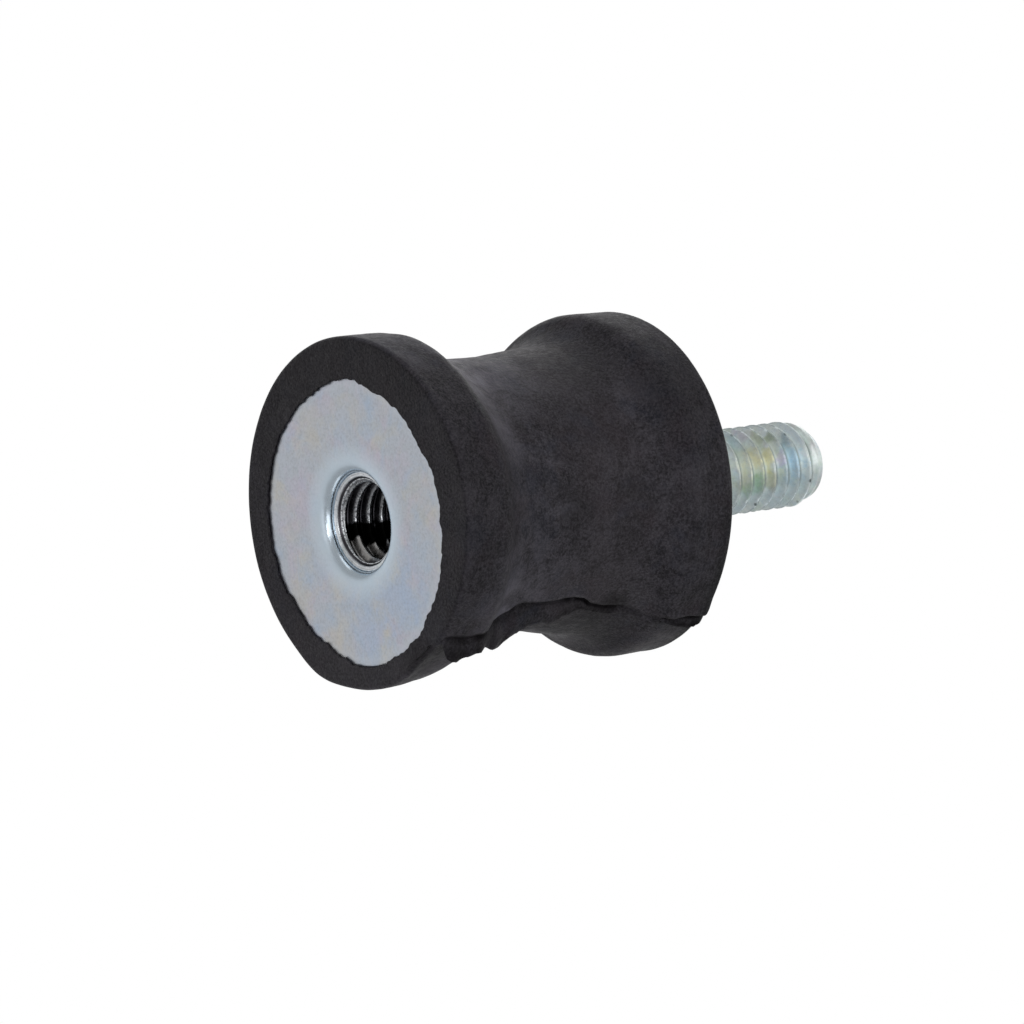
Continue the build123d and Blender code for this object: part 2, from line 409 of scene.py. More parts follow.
def rubber():
    female, male = inner_rings()
    rings = []
    shade = []

    def plain(r, z):
        rings.append(np.stack([r * np.cos(col_a), r * np.sin(col_a), np.full(NC, float(z))], -1))

    for r, z in female:
        plain(r, z)
    for lo in (True, False):
        face = 0.0 if lo else BODY_H
        into = 1.0 if lo else -1.0
        edge = lip_edge(col_a, lo)
        t = LIP_T
        # under the lip, up its ragged edge and over on to the end face
        lip = [
            (edge + 0.16, t + 0.01), (edge + 0.10, t * 0.86), (edge + 0.03, t * 0.62),
            (edge - 0.005, t * 0.34), (edge + 0.03, t * 0.12), (edge + 0.12, 0.012),
        ]
        cx, cy = axis_at(face)
        outer = BODY_R - EDGE_R + out_of_round(col_a, face)
        face_rings = []
        for r, dz in lip:
            face_rings.append([r * np.cos(col_a), r * np.sin(col_a), np.full(NC, face + into * dz)])
        n_mid = 14
        for k in range(1, n_mid):
            f = k / n_mid
            r = (edge + 0.12) * (1 - f) + outer * f
            face_rings.append([cx * f + r * np.cos(col_a), cy * f + r * np.sin(col_a), np.full(NC, face)])
        for n_, (x, y, z) in enumerate(face_rings):
            if n_ >= 5:
                p = np.stack([x, y, np.full(NC, face)], -1)
                w = 0.030 * (0.5 + 0.5 * noise3(p, 3.1, 61)) + 0.020 * (0.5 + 0.5 * noise3(p, 0.9, 62))
                w = w + 0.008 * (0.5 + 0.5 * noise3(p, 0.4, 63))
                w = w * float(smooth(1.0, 0.5, (n_ - 5) / n_mid))
                z = z + into * w * (0.3 if n_ == 5 else 1.0)
            face_rings[n_] = np.stack([x, y, z], -1)
        if lo:
            rings.extend(face_rings)
            shade.extend([np.zeros(NC)] * (len(rings)))
            for r, z in outside:
                rings.append(skin_ring(r, z))
                shade.append(seam_shade_and_grime(z))
        else:
            rings.extend(face_rings[::-1])
    for r, z in male:
        plain(r, z)
    shade.extend([np.zeros(NC)] * (len(rings) - len(shade)))
    return rings, shade


def at(table, z):
    return float(np.interp(z, table[:, 0], table[:, 1]))


def one(z, size, seed):
    return float(noise1(np.array([z]), size, seed)[0])


def skin_ring(r0, z):
    """One ring of the outside, with the moulding's unevenness, both seams and the web of flash."""
    z_ = np.full(NC, float(z))
    p = np.stack([r0 * np.cos(col_a), r0 * np.sin(col_a), z_], -1)
    d = 0.055 * noise3(p, 5.0, 1) + 0.034 * noise3(p, 1.9, 2) + 0.014 * noise3(p, 0.8, 3)
    # turning lines left by the mould
    d = d + 0.006 * noise1(z_ + 0.15 * noise3(p, 6.0, 5), 0.5, 4)
    end = min(z, BODY_H - z)
    d = d * (0.4 + 0.6 * float(smooth(0.2, 1.0, end)))
    d = d + out_of_round(col_a, z)
    main = col_seam == 1
    ang = (col_a - SEAM + math.pi) % TURN - math.pi
    off = ang * 14.0
    crease = at(CREASE, z)
    # the two halves of the mould met out of line: the upper skin stands proud and rolls
    # into the crease, the lower skin sits back from it
    lip = 0.15 * np.exp(-(((off + 0.80) / 0.42) ** 2)) * crease
    bulge = (0.10 * crease + 0.30 * float(smooth(23.5, 26.5, z))) * np.exp(np.minimum(off, 0) / 2.6) * (off < -0.5)
    shy = (0.10 * crease + 0.42 * float(smooth(7.5, 4.0, z))) * smooth(0.1, 0.6, off) * np.exp(-np.maximum(off, 0) / 3.4)
    d = d + lip + bulge - shy
    groove = main & (col_kind == 1)
    d = np.where(groove, d - 0.28 * col_f * crease, d)
    back = (col_seam == 2) & (col_kind == 2)
    d = np.where(back, d + float(back_height(np.array([z]))[0]) * col_f, d)
    # the skin follows the parting line's wander
    shift = math.radians(at(PARTING, z)) - SEAM + 0.05 / 14 * one(z, 1.3, 74)
    shift = shift * float(smooth(0.0, 0.35, end))
    follow = np.where(np.abs(off) < 1.6, 1.0, smooth(16.0, 1.6, np.abs(off)))
    across = off + shift * 14.0 * follow
    radial = r0 + d
    # the web, which curls over towards the lower skin
    reach = float(flash_reach(np.array([z]))[0])
    k = float(smooth(0.0, 0.3, reach))
    f = np.clip(col_f, 0, 1)
    thick = 0.30 - 0.14 * f + 0.02 * one(z, 1.1, 76)
    even = float(web_reach(z))
    reach = even + (reach - even) * f**2
    turn = math.radians(8.0 * one(z, 2.1, 75) + 2.0 * one(z, 0.8, 77))
    cr, ct = np.interp(f, _s, CURL_R), np.interp(f, _s, CURL_T)
    cr, ct = cr * math.cos(turn) - ct * math.sin(turn), cr * math.sin(turn) + ct * math.cos(turn)
    b = np.interp(f, _s, _b) + turn
    sign = np.where(col_kind == 3, 1.0, -1.0)
    wr = r0 + np.median(out_of_round(col_a[main], z)) - 0.16 + cr * (reach + 0.16) + sign * thick / 2 * np.sin(b)
    wr = wr + eased(r0, z) * f
    wt = 0.0 + ct * (reach + 0.16) - sign * thick / 2 * np.cos(b) + shift * 14.0
    web = main & (col_kind >= 3)
    radial = np.where(web, radial * (1 - k) + wr * k, radial)
    across = np.where(web, across * (1 - k) + wt * k, across)
    a = SEAM + across / 14.0
    # arc lengths across the seam stay the same at the waist
    local = np.where(np.abs(off) < 1.6, 14.0 / r0, 1.0 + (14.0 / r0 - 1.0) * smooth(9.0, 1.6, np.abs(off)))
    a = SEAM + shift * follow + (across - shift * 14.0 * follow) / 14.0 * local
    cx, cy = axis_at(z)
    return np.stack([cx + radial * np.cos(a), cy + radial * np.sin(a), z_], -1)


rubber_rings, rubber_shade = rubber()
rubber_ob = lathe("rubber_moulding", np.array(rubber_rings), tip_lo=(0, 0, 13.6), tip_hi=(0, 0, 24.8))
attribute(rubber_ob, "seam_shade_and_grime", np.concatenate([np.array(rubber_shade).ravel(), [0.0, 0.0]]))
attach(rubber_ob, "root")
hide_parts("rubber_body")


# ------------------------------------------------------------------ threads
def outer_thread(theta, z, crest_at, major, depth, flat, round_c=0.05, round_r=0.10):
    """Depth below the crest of a 60 degree thread, rounded at crest and root."""
    s = (z - crest_at - PITCH * theta / TURN) / PITCH
    s = np.abs(s - np.round(s)) * PITCH
    v = (s - flat / 2) * math.tan(math.radians(60))
    v = 0.5 * (v + np.sqrt(v * v + round_c**2))
    w = depth - v
    w = 0.5 * (w + np.sqrt(w * w + round_r**2))
    return depth - w


N_T = 176
th = np.arange(N_T) / N_T * TURN
CREST_OUT = 44.992
CREST_IN = 1.21

# stud: head and collar inside the rubber, then the rolled thread and its chamfered tip
STUD_R = 3.91
STUD_Z0, STUD_Z1 = BODY_H - LIP_T, 51.0


TIP = np.array([(46.0, 3.91), (49.2, 3.91), (49.55, 3.74), (50.0, 3.56), (50.6, 3.30), (51.0, 3.12)])


def stud_rings():
    rings = []
    core = [(3.0, 24.8), (6.5, 24.8), (6.85, 24.95), (7.0, 25.3), (7.0, 27.8), (4.3, 27.8), (4.3, STUD_Z0 - 0.02), (4.1, STUD_Z0)]
    for r, z in core:
        rings.append(np.stack([r * np.cos(th), r * np.sin(th), np.full(N_T, z)], -1))
    zs = np.concatenate([
        np.linspace(STUD_Z0 + 0.01, STUD_Z1 - 2.0, 318),
        np.linspace(STUD_Z1 - 2.0, STUD_Z1 - 0.34, 34)[1:],
    ])
    for z in zs:
        cut = outer_thread(th, z, CREST_OUT, STUD_R, 0.86, 0.11, 0.06, 0.20)
        r = STUD_R - cut
        # the point: a cone with a rounded shoulder, over which the thread dies away
        cone = float(np.interp(z, TIP[:, 0], TIP[:, 1])) + 0.03
        r = 0.5 * (r + cone - np.sqrt((r - cone) ** 2 + 0.10**2)) + 0.03
        # the first turn at the disc is not cut to depth
        fade = float(smooth(STUD_Z0 + 0.1, STUD_Z0 + 1.1, z))
        r = (STUD_R - 0.12) * (1 - fade) + r * fade
        p = np.stack([r * np.cos(th), r * np.sin(th), np.full(N_T, z)], -1)
        r = r + 0.012 * noise3(p, 0.9, 81) + 0.007 * noise3(p, 0.35, 82)
        # turned rings left on the point
        if z > 49.25:
            r = r + 0.030 * math.sin((z - 49.25) * TURN / 0.42)
        # dings along the crests
        ding = smooth(0.45, 0.8, noise3(p, 0.55, 83)) * smooth(0.25, 0.0, cut)
        r = r - 0.06 * ding
        rings.append(np.stack([r * np.cos(th), r * np.sin(th), np.full(N_T, z)], -1))
    last = r
    for k in range(1, 7):
        a = k / 6 * math.pi / 2
        rr = last - 0.34 * (1 - math.cos(a))
        zz = STUD_Z1 - 0.34 + 0.34 * math.sin(a)
        rings.append(np.stack([rr * np.cos(th), rr * np.sin(th), np.full(N_T, zz)], -1))
    for f in (0.9, 0.75, 0.55, 0.35, 0.15):
        rr = 2.75 * f
        zz = STUD_Z1 - 0.05 * (1 - f)
        rings.append(np.stack([rr * np.cos(th), rr * np.sin(th), np.full(N_T, zz)], -1))
    return rings


stud_ob = lathe("rolled_stud", np.array(stud_rings()), tip_lo=(0, 0, 24.8), tip_hi=(0, 0, STUD_Z1 - 0.05))
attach(stud_ob, "root")
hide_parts("threaded_stud")


# bush: outside, end ring, coned mouth, internal thread and the drilled bottom
def bush_rings():
    rings = []
    n = 168
    t = np.arange(n) / n * TURN

    def put(r, z):
        r, z = np.broadcast_to(r, (n,)), np.broadcast_to(z, (n,))
        rings.append(np.stack([r * np.cos(t), r * np.sin(t), z], -1))

    for r, z in ((2.5, 13.6), (4.7, 13.6), (5.3, 13.0), (5.3, 8.0), (5.3, 3.5), (6.5, 3.5), (6.5, 2.2), (4.3, 2.2), (4.3, 1.6), (4.3, 1.26)):
        put(r, z)
    # end ring with two low ridges, a chamfer and the burred edge where the thread breaks out
    for r, z in (
        (4.27, 1.18), (4.20, 1.14), (4.12, 1.15), (4.04, 1.21), (3.98, 1.21), (3.90, 1.22), (3.83, 1.30),
        (3.78, 1.40), (3.72, 1.47), (3.67, 1.50), (3.62, 1.50), (3.58, 1.53),
    ):
        p = np.stack([r * np.cos(t), r * np.sin(t), np.full(n, z)], -1)
        put(r + 0.018 * noise3(p, 0.8, 91), z + 0.012 * noise3(p, 0.6, 94))
    for z in np.concatenate([np.linspace(1.57, 8.6, 230), np.linspace(8.6, 10.4, 24)[1:]]):
        cut = outer_thread(t, z, CREST_IN, 0.0, 0.74, 0.22, 0.05, 0.10)
        run_in = 1 - smooth(8.8, 9.9, z)
        r = 3.28 + cut * run_in
        cone = 3.56 - (z - 1.57) * 3.0
        r = 0.5 * (r + cone + np.sqrt((r - cone) ** 2 + 0.05**2))
        p = np.stack([r * np.cos(t), r * np.sin(t), np.full(n, z)], -1)
        # torn, burred crests
        burr = 0.5 + 0.5 * noise3(p, 0.42, 95)
        r = r + 0.014 * noise3(p, 0.8, 92) + 0.008 * noise3(p, 0.3, 93) + 0.05 * burr * smooth(0.2, 0.0, cut)
        put(r, z)
    for r, z in ((2.6, 10.8), (1.6, 11.4), (0.7, 11.95)):
        put(r, z)
    return rings


bush_ob = lathe("tapped_bush", np.array(bush_rings()), tip_lo=(0, 0, 13.6), tip_hi=(0, 0, 12.35))
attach(bush_ob, "root")
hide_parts("threaded_bush")


# ------------------------------------------------------------------ end discs
def disc_rings(lo):
    n = 288
    t = np.arange(n) / n * TURN
    rings = []
    face = LIP_T if lo else BODY_H - LIP_T
    s = 1.0 if lo else -1.0

    def put(r, depth, wave=0.0):
        z = np.full(n, face + s * depth)
        if wave:
            p = np.stack([r * np.cos(t), r * np.sin(t), z * 0], -1)
            z = z + s * wave * (0.5 + 0.5 * noise3(p, 4.0, 101 if lo else 102))
        rings.append(np.stack([r * np.cos(t), r * np.sin(t), z], -1))

    hole = 4.3
    if lo:
        # the face dips softly and rolls over into the hole
        for k in range(0, 21):
            u = 1 - k / 20
            b = ((1 - u) ** 3, 3 * u * (1 - u) ** 2, 3 * u * u * (1 - u), u**3)
            put(
                b[0] * 6.3 + b[1] * 5.15 + b[2] * 4.40 + b[3] * hole,
                b[1] * 0.005 + b[2] * 0.13 + b[3] * 0.85,
            )
        start = 6.3
    else:
        put(hole, 0.06)
        put(hole + 0.06, 0.0)
        start = hole + 0.06
    for r in np.concatenate([np.linspace(start, 11.0, 18)[1:], np.linspace(11.0, 12.25, 12)[1:]]):
        # the rounded edge that blanking leaves
        put(r, 0.06 * max(0.0, (r - 11.35) / 0.9) ** 2, 0.012)
    for r, d in ((12.33, 0.10), (12.39, 0.18), (12.395, 0.35), (12.395, 1.8), (12.35, 1.95), (12.2, 2.0), (9.0, 2.0), (hole + 0.1, 2.0), (hole, 1.9)):
        put(r, d)
    if not lo:
        rings = rings[::-1]
    return rings[::-1] if lo else rings[::-1]


female_ob = lathe("female_plate", np.array(disc_rings(True)), loop=True)
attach(female_ob, "root")
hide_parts("female_end_disc")
male_ob = lathe("male_plate", np.array(disc_rings(False)), loop=True)
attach(male_ob, "root")
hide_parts("male_end_disc")


def outward(ob):
    """Faces turned to look out of the solid."""
    import bmesh

    bm = bmesh.new()
    bm.from_mesh(ob.data)
    bmesh.ops.recalc_face_normals(bm, faces=bm.faces)
    bm.to_mesh(ob.data)
    bm.free()


for ob in (rubber_ob, stud_ob, bush_ob, female_ob, male_ob):
    outward(ob)


# ------------------------------------------------------------------ materials
def material(name):
    m = bpy.data.materials.new(name)
    m.use_nodes = True
    nt = m.node_tree
    bsdf = nt.nodes["Principled BSDF"]
    return m, nt, bsdf


class Net:
    """Short calls for shader nodes."""

    def __init__(self, nt):
        self.nt = nt

    def node(self, kind, **props):
        n = self.nt.nodes.new(kind)
        for k, v in props.items():
            setattr(n, k, v)
        return n

    def link(self, a, b):
        self.nt.links.new(a, b)

    def coords(self, scale=(1, 1, 1), loc=(0, 0, 0)):
        tc = self.node("ShaderNodeTexCoord")
        mp = self.node("ShaderNodeMapping")
        mp.inputs["Scale"].default_value = scale
        mp.inputs["Location"].default_value = loc
        self.link(tc.outputs["Object"], mp.inputs["Vector"])
        return mp.outputs["Vector"]

    def noise(self, vec, scale, detail=2.0, rough=0.5, distort=0.0):
        n = self.node("ShaderNodeTexNoise")
        n.inputs["Scale"].default_value = scale
        n.inputs["Detail"].default_value = detail
        n.inputs["Roughness"].default_value = rough
        n.inputs["Distortion"].default_value = distort
        self.link(vec, n.inputs["Vector"])
        return n

    def span(self, value, a, b, lo=0.0, hi=1.0):
        n = self.node("ShaderNodeMapRange")
        n.inputs["From Min"].default_value = a
        n.inputs["From Max"].default_value = b
        n.inputs["To Min"].default_value = lo
        n.inputs["To Max"].default_value = hi
        self.link(value, n.inputs["Value"])
        return n.outputs["Result"]

    def math(self, op, a, b=None):
        n = self.node("ShaderNodeMath", operation=op)
        for k, v in enumerate((a, b)):
            if v is None:
                continue
            if isinstance(v, (int, float)):
                n.inputs[k].default_value = v
            else:
                self.link(v, n.inputs[k])
        return n.outputs["Value"]

    def mix(self, fac, a, b):
        n = self.node("ShaderNodeMix", data_type="RGBA")
        if isinstance(fac, (int, float)):
            n.inputs["Factor"].default_value = fac
        else:
            self.link(fac, n.inputs["Factor"])
        for sock, v in ((n.inputs[6], a), (n.inputs[7], b)):
            if isinstance(v, (tuple, list)):
                sock.default_value = (*v, 1.0) if len(v) == 3 else v
            else:
                self.link(v, sock)
        return n.outputs[2]

    def bump(self, height, strength, distance, normal=None):
        n = self.node("ShaderNodeBump")
        n.inputs["Strength"].default_value = strength
        n.inputs["Distance"].default_value = distance
        self.link(height, n.inputs["Height"])
        if normal is not None:
            self.link(normal, n.inputs["Normal"])
        return n.outputs["Normal"]


def rubber_material():
    m, nt, bsdf = material("moulded_rubber")
    g = Net(nt)
    v = g.coords()
    grain = g.noise(v, 4200, 3, 0.65).outputs["Fac"]
    mottle = g.noise(v, 1500, 4, 0.65, 0.6).outputs["Fac"]
    patch = g.noise(g.coords(loc=(0.05, 0.02, 0.01)), 330, 5, 0.65, 0.5).outputs["Fac"]
    cloud = g.noise(v, 150, 3, 0.5, 0.3).outputs["Fac"]
    # fine lines round the moulding
    lines = g.noise(g.coords(scale=(1, 1, 24)), 130, 5, 0.7).outputs["Fac"]
    sand = g.noise(v, 9000, 2, 0.6).outputs["Fac"]
    tint = g.noise(g.coords(loc=(0.013, 0.007, 0.021)), 260, 4, 0.6, 0.5).outputs["Fac"]
    tint2 = g.noise(g.coords(loc=(0.031, 0.003, 0.017)), 200, 4, 0.6, 0.5).outputs["Fac"]
    c = g.mix(g.span(grain, 0.40, 0.63), (0.0024, 0.0020, 0.0030), (0.0370, 0.0338, 0.0412))
    c = g.mix(g.span(mottle, 0.48, 0.66, 0.0, 0.70), c, (0.049, 0.045, 0.054))
    c = g.mix(g.span(mottle, 0.50, 0.36, 0.0, 0.80), c, (0.0024, 0.0021, 0.0029))
    c = g.mix(g.span(patch, 0.48, 0.66, 0.0, 0.70), c, (0.050, 0.046, 0.055))
    c = g.mix(g.span(patch, 0.48, 0.34, 0.0, 0.60), c, (0.0050, 0.0046, 0.0060))
    c = g.mix(g.span(tint, 0.52, 0.68, 0.0, 0.55), c, (0.0125, 0.0170, 0.0310))
    c = g.mix(g.span(tint2, 0.52, 0.68, 0.0, 0.50), c, (0.0270, 0.0175, 0.0215))
    c = g.mix(g.span(sand, 0.50, 0.38, 0.0, 0.50), c, (0.0024, 0.0020, 0.0028))
    c = g.mix(g.span(sand, 0.54, 0.68, 0.0, 0.50), c, (0.060, 0.055, 0.067))
    tc = g.node("ShaderNodeTexCoord")
    sep = g.node("ShaderNodeSeparateXYZ")
    g.link(tc.outputs["Object"], sep.inputs[0])
    x, y, z = sep.outputs["X"], sep.outputs["Y"], sep.outputs["Z"]
    # the rims are darker and the waist paler; the female end face is darker too
    rims = g.math("MAXIMUM", g.span(z, 0.0066, 0.0046), g.span(z, 0.0225, 0.0256))
    faces = g.span(z, 0.00012, 0.00005)
    c = g.mix(g.math("MULTIPLY", rims, 0.26), c, (0.0045, 0.0040, 0.0050))
    c = g.mix(g.math("MULTIPLY", faces, 0.30), c, (0.0030, 0.0026, 0.0032))
    mid = g.math("MULTIPLY", g.span(z, 0.0125, 0.0165), g.span(z, 0.0245, 0.0205))
    c = g.mix(g.math("MULTIPLY", mid, 0.26), c, (0.0480, 0.0420, 0.0460))
    # painted shade and grime along the seam
    seam = g.node("ShaderNodeAttribute")
    seam.attribute_type = "GEOMETRY"
    seam.attribute_name = "seam_shade_and_grime"
    dark = seam.outputs["Fac"]
    # pale bloom drawn out in streaks, partly dust and partly painted sheen where light falls: strongest on the
    # flare by the female rim, on top; on top it reaches further along the waist, and a painted highlight runs on
    # the lower side by the front rim
    near = g.span(z, 0.0106, 0.0080)
    along = g.math("MAXIMUM", near, g.math("MULTIPLY", g.span(z, 0.0130, 0.0104), g.span(x, -0.0074, -0.0110)))
    flare = g.math("MULTIPLY", g.span(z, 0.0050, 0.0078), along)
    foot = g.math("MULTIPLY", g.span(z, 0.0020, 0.0058), near)
    upper = g.span(x, -0.0030, -0.0110, 0.16, 1.12)
    low = g.span(x, 0.001, 0.0075, 0.0, 0.80)
    where = g.math("MAXIMUM", g.math("MULTIPLY", flare, upper), g.math("MULTIPLY", foot, low))
    # and a thinner veil on the waist above the seam
    veil = g.math("MULTIPLY", g.span(z, 0.0080, 0.0100), g.span(z, 0.0168, 0.0124))
    veil = g.math("MULTIPLY", veil, g.math("MULTIPLY", g.span(x, 0.0020, 0.0060), 0.34))
    where = g.math("MAXIMUM", where, veil)
    for spot, reach, amount in (((-0.7, -12.2, 11.6), 2.6, 0.32), ((2.8, -11.7, 9.9), 2.6, 0.24), ((0.5, -13.6, 23.8), 5.6, 0.09), ((-4.5, -11.6, 12.2), 2.4, 0.26), ((-8.2, -10.7, 22.7), 2.2, 0.18)):
        where = g.math("MAXIMUM", where, g.math("MULTIPLY", place(g, spot, reach, patch), amount))
    # painted sheen along the top of the waist by the front flare
    crown_sheen = g.math("MULTIPLY", g.span(x, -0.0090, -0.0116), g.span(z, 0.0165, 0.0130))
    where = g.math("MAXIMUM", where, g.math("MULTIPLY", crown_sheen, g.span(z, 0.0050, 0.0078, 0.0, 0.80)))
    where = g.math("MULTIPLY", where, g.span(dark, 0.0, 0.14, 1.0, 0.0))
    streak = g.math("MULTIPLY", g.span(lines, 0.25, 0.72, 0.35, 1.0), g.span(patch, 0.32, 0.60))
    streak = g.math("MULTIPLY", streak, g.span(mottle, 0.32, 0.62, 0.55, 1.15))
    # the pale colour of dust bloom and painted sheen
    bloom_and_sheen = g.math("MULTIPLY", where, g.math("ADD", g.math("MULTIPLY", streak, 1.15), 0.16))
    c = g.mix(g.math("MULTIPLY", bloom_and_sheen, 0.75), c, (0.160, 0.153, 0.184))
    dusty = g.math("MULTIPLY", g.span(cloud, 0.46, 0.72), g.span(lines, 0.40, 0.80))
    c = g.mix(g.math("MULTIPLY", dusty, 0.30), c, (0.060, 0.056, 0.066))
    # scoring round the rear rim
    scored = g.math("MULTIPLY", g.span(z, 0.0235, 0.0255), g.span(lines, 0.50, 0.66))
    scored = g.math("MULTIPLY", scored, g.span(patch, 0.36, 0.60))
    c = g.mix(g.math("MULTIPLY", scored, 0.52), c, (0.052, 0.050, 0.060))
    # painted highlight along the top of the front rim
    rim_top_highlight = g.math("MULTIPLY", g.span(x, -0.0124, -0.0152), g.span(patch, 0.34, 0.60, 0.2, 1.0))
    rim_top_highlight = g.math("MULTIPLY", rim_top_highlight, g.math("MULTIPLY", g.span(z, 0.0000, 0.0005), g.span(z, 0.0072, 0.0050)))
    c = g.mix(g.math("MULTIPLY", rim_top_highlight, 0.50), c, (0.095, 0.092, 0.116))
    # the soft corner round the face is a little paler, and paler still on the lower side, where it is painted
    # light from below
    corner = g.math("MULTIPLY", g.span(z, 0.00002, 0.00016), g.span(z, 0.00110, 0.00045))
    c = g.mix(g.math("MULTIPLY", corner, g.math("ADD", g.math("MULTIPLY", g.span(x, 0.0040, 0.0120, 0.0, 0.40), g.span(y, -0.0060, 0.0030)), 0.18)), c, (0.062, 0.058, 0.069))
    # painted shade on the skin beside the seam at the front rim, under the seam and along the lower part of the
    # rear edge
    # painted shadow beside the seam at the front rim
    front_seam_shadow = place(g, (11.7, -8.3, 0.9), 3.2, patch)
    c = g.mix(g.math("MULTIPLY", front_seam_shadow, 0.68), c, (0.0046, 0.0042, 0.0048))
    # painted shade on the skin under the seam's web, and a fainter darker patch on the waist
    seam_shade_and_waist_patch = g.math("MAXIMUM", place(g, (11.3, -4.0, 20.2), 5.2, patch), place(g, (9.1, -8.2, 20.8), 1.8, patch))
    seam_shade_and_waist_patch = g.math("MAXIMUM", seam_shade_and_waist_patch, g.math("MULTIPLY", place(g, (0.3, -12.2, 14.3), 2.4, patch), 0.5))
    c = g.mix(g.math("MULTIPLY", seam_shade_and_waist_patch, 0.62), c, (0.0050, 0.0053, 0.0048))
    # painted shade on the rear rim's upper near side, and a darker patch on the upper side of the waist
    shade = place(g, (-8.6, -11.4, 26.4), 4.2, patch)
    c = g.mix(g.math("MULTIPLY", shade, 0.42), c, (0.0055, 0.0052, 0.0062))
    upper_side = place(g, (-11.5, -5.5, 20.6), 4.6, patch)
    c = g.mix(g.math("MULTIPLY", upper_side, 0.45), c, (0.0050, 0.0050, 0.0056))
    # painted shade: the upper part of the female end face darker
    c = g.mix(g.math("MULTIPLY", faces, g.span(x, -0.0040, -0.0120, 0.0, 0.50)), c, (0.0050, 0.0046, 0.0052))
    # painted light: the lower part of the female end face paler, as if lit from below
    c = g.mix(g.math("MULTIPLY", faces, g.span(x, 0.0060, 0.0130, 0.0, 0.30)), c, (0.0480, 0.0440, 0.0500))
    # painted shade: a dark band along the lower part of the rear edge
    rear_edge_shade = g.math("MULTIPLY", g.span(z, 0.0282, 0.0294), g.span(x, 0.0010, 0.0070))
    c = g.mix(g.math("MULTIPLY", rear_edge_shade, 0.75), c, (0.0036, 0.0048, 0.0042))
    # painted shade and grime: the seam's crease and web darkened towards black
    c = g.mix(g.math("MULTIPLY", dark, 0.95), c, (0.0024, 0.0018, 0.0022))
    g.link(c, bsdf.inputs["Base Color"])
    rough = g.math("ADD", g.span(mottle, 0.36, 0.64, 0.47, 0.66), g.span(grain, 0.3, 0.7, -0.05, 0.06))
    g.link(rough, bsdf.inputs["Roughness"])
    gloss = g.math("MULTIPLY", g.span(dark, 0.0, 1.0, 1.0, 0.20), g.span(grain, 0.40, 0.63, 0.20, 0.50))
    gloss = g.math("MULTIPLY", gloss, g.span(g.math("MAXIMUM", faces, rims), 0.0, 1.0, 1.0, 0.86))
    gloss = g.math("MULTIPLY", gloss, g.span(g.math("MAXIMUM", seam_shade_and_waist_patch, front_seam_shadow), 0.0, 1.0, 1.0, 0.55))
    g.link(gloss, bsdf.inputs["Specular IOR Level"])
    bsdf.inputs["Specular Tint"].default_value = (0.96, 0.92, 1.0, 1.0)
    n1 = g.bump(lines, 0.35, 0.00005)
    n2 = g.bump(mottle, 0.75, 0.00012, n1)
    n3 = g.bump(grain, 0.80, 0.00006, n2)
    g.link(n3, bsdf.inputs["Normal"])
    return m


def place(g, spot, reach, ragged=None):
    """1 at a spot in the object's frame, falling to 0 at `reach` from it, in mm, with a ragged edge."""
    tc = g.node("ShaderNodeTexCoord")
    n = g.node("ShaderNodeVectorMath", operation="DISTANCE")
    g.link(tc.outputs["Object"], n.inputs[0])
    n.inputs[1].default_value = tuple(k * MM for k in spot)
    d = n.outputs["Value"]
    if ragged is not None:
        d = g.math("ADD", d, g.span(ragged, 0.3, 0.7, reach * 0.00045, reach * -0.00045))
    f = g.span(d, 0.0, reach * MM, 1.0, 0.0)
    return g.math("SMOOTH_MIN", g.math("MULTIPLY", f, 1.6), 1.0)


def zinc(name, base, tones, rough, grain_scale, bump, spots=(), specks=(), grain=0.30):
    """Zinc plate: metal with a thin passivated film whose tint drifts in soft patches."""
    m, nt, bsdf = material(name)
    g = Net(nt)
    v = g.coords()
    c = base
    for k, (tone, scale, lo, hi, amount) in enumerate(tones):
        vv = g.coords(loc=(0.011 * (k + 1), 0.017 * (k + 1), 0.005 * k))
        n = g.noise(vv, scale, 4, 0.6, 0.6).outputs["Fac"]
        c = g.mix(g.span(n, lo, hi, 0.0, amount), c, tone)
    edge = g.noise(v, 900, 3, 0.6).outputs["Fac"]
    for tone, spot, reach, amount in spots:
        f = place(g, spot, reach, edge)
        c = g.mix(g.math("MULTIPLY", f, amount), c, tone)
    fine = g.noise(v, grain_scale, 3, 0.65).outputs["Fac"]
    mid = g.noise(v, grain_scale * 0.30, 3, 0.6).outputs["Fac"]
    dark = tuple(x * 0.55 for x in base)
    light = tuple(min(1.0, x * 1.25) for x in base)
    c = g.mix(g.span(fine, 0.50, 0.30, 0.0, grain), c, dark)
    c = g.mix(g.span(fine, 0.52, 0.72, 0.0, grain), c, light)
    c = g.mix(g.span(mid, 0.50, 0.30, 0.0, grain * 0.4), c, dark)
    for spot, reach in specks:
        c = g.mix(g.math("MULTIPLY", place(g, spot, reach), 0.9), c, (0.03, 0.05, 0.05))
    bsdf.inputs["Metallic"].default_value = 1.0
    return m, g, bsdf, c, fine, mid, rough, bump


def finish(made, rough=None, c=None):
    m, g, bsdf, own, fine, mid, base_rough, bump = made
    g.link(own if c is None else c, bsdf.inputs["Base Color"])
    r = g.span(mid, 0.3, 0.7, base_rough - 0.05, base_rough + 0.06)
    if rough is not None:
        r = g.math("MULTIPLY", r, rough)
    g.link(r, bsdf.inputs["Roughness"])
    n1 = g.bump(mid, 0.35, bump * 2.2)
    n2 = g.bump(fine, 0.4, bump, n1)
    g.link(n2, bsdf.inputs["Normal"])
    return m


def radius(g):
    n = g.node("ShaderNodeVectorMath", operation="LENGTH")
    g.link(g.coords(scale=(1, 1, 0)), n.inputs[0])
    return n.outputs["Value"]


